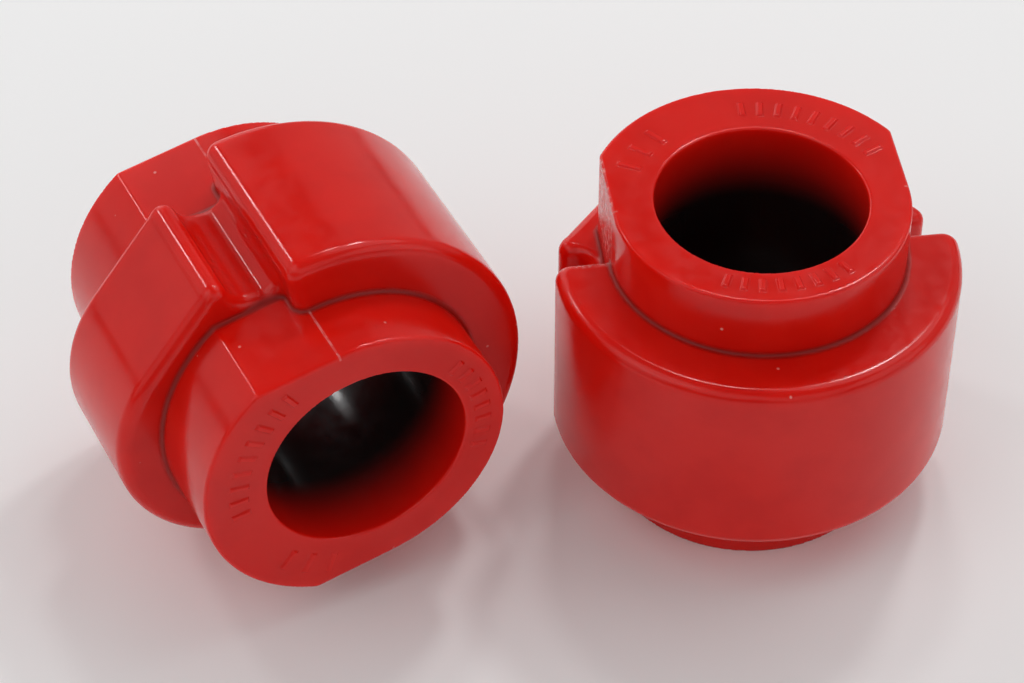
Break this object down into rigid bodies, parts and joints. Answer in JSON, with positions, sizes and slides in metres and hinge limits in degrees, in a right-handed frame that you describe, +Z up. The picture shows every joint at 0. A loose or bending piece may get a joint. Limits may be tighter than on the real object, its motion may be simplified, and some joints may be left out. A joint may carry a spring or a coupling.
{
  "type": "sway bar bush pair",
  "caption": "Solid polyurethane bushes for a sway bar, each a straight-bored sleeve with a wide round lobe and a narrower faceted lobe parted by round-bottomed grooves.",
  "frame": {"origin": "floor level under the middle of the pair", "axes": "+X from the lying bush towards the standing one, -Y the way the lying bush's marked end faces, +Z up"},
  "size_m": [0.1192, 0.0766, 0.0565],
  "materials": {
    "red_polyurethane": "glossy as moulded"
  },
  "bodies": {
    "standing": {"standing_bush": "red_polyurethane"},
    "lying": {"lying_bush": "red_polyurethane"}
  },
  "joints": [
    {"name": "lying_bush_lift", "type": "slide", "parent": "standing", "child": "lying", "axis": [0, 0, 1], "range_m": [0, 0.06]}
  ]
}
